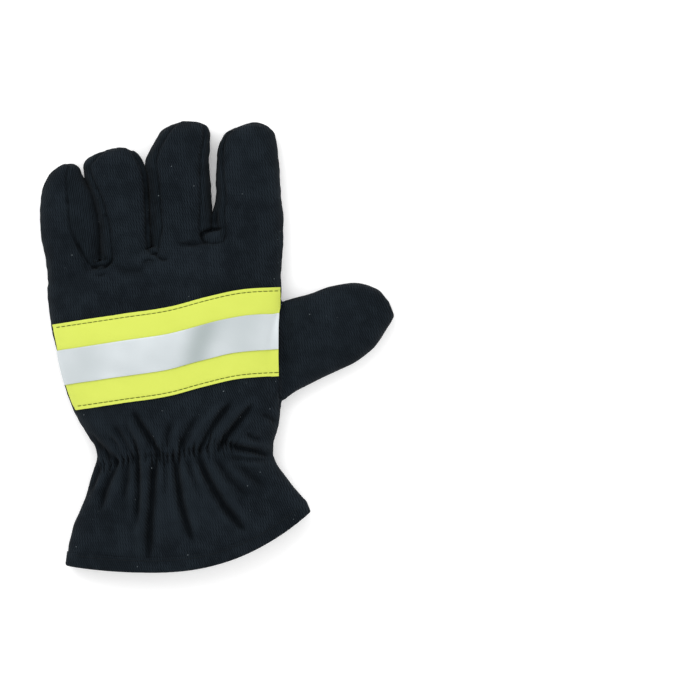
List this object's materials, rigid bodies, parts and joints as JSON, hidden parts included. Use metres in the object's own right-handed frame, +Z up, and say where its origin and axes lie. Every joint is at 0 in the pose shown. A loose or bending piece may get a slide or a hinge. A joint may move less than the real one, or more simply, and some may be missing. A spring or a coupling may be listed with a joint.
{
  "type": "firefighter glove",
  "caption": "Left-hand firefighter glove lying palm down: cloth hand with fourchettes, a hi-vis band, suede patches, a gathered wrist and a flared cuff.",
  "frame": {"origin": "on the palm patch's flat resting face, under the middle of the palm, level with what the glove lies on", "axes": "+Z up from the surface towards the glove's back, +Y along the fingers, +X towards the thumb"},
  "size_m": [0.199, 0.2544, 0.0328],
  "materials": {
    "shell_cloth": "matt navy-black twill",
    "suede": "black suede",
    "yellow_tape": "woven fluorescent yellow tape",
    "silver_film": "retroreflective silver film",
    "thread": "dark sewing thread",
    "pale_thread": "grey aramid thread"
  },
  "bodies": {
    "root": {"back_panel": "shell_cloth", "palm_panel": "shell_cloth", "thumb": "shell_cloth", "gauntlet_cuff": "shell_cloth", "cuff_hem": "shell_cloth", "fourchette_little_ring": "shell_cloth", "fourchette_ring_middle": "shell_cloth", "fourchette_middle_index": "shell_cloth", "hi_vis_band": "yellow_tape", "reflective_strip": "silver_film", "palm_patch": "suede", "heel_patch": "suede", "index_base_patch": "suede", "index_tip_patch": "suede"}
  },
  "joints": []
}
